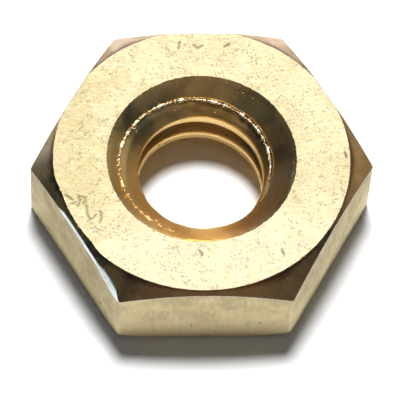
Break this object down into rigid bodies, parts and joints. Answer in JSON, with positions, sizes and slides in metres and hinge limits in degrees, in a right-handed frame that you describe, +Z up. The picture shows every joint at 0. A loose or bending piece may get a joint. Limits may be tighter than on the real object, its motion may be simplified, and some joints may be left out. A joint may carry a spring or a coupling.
{
  "type": "hex nut",
  "caption": "Thin hexagon machine-screw nut with a chamfered crown, countersunk bore and right-hand thread.",
  "frame": {"origin": "centre of the bearing face, on the thread's axis, at the base of the nut", "axes": "+Z up the thread's axis towards the chamfered crown; +X through a corner; +Y and -Y face a wrench flat"},
  "size_m": [0.011, 0.0096, 0.003],
  "materials": {
    "brass": "turned and drawn brass, satin, lightly dulled"
  },
  "bodies": {
    "root": {"nut_body": "brass"}
  },
  "joints": []
}
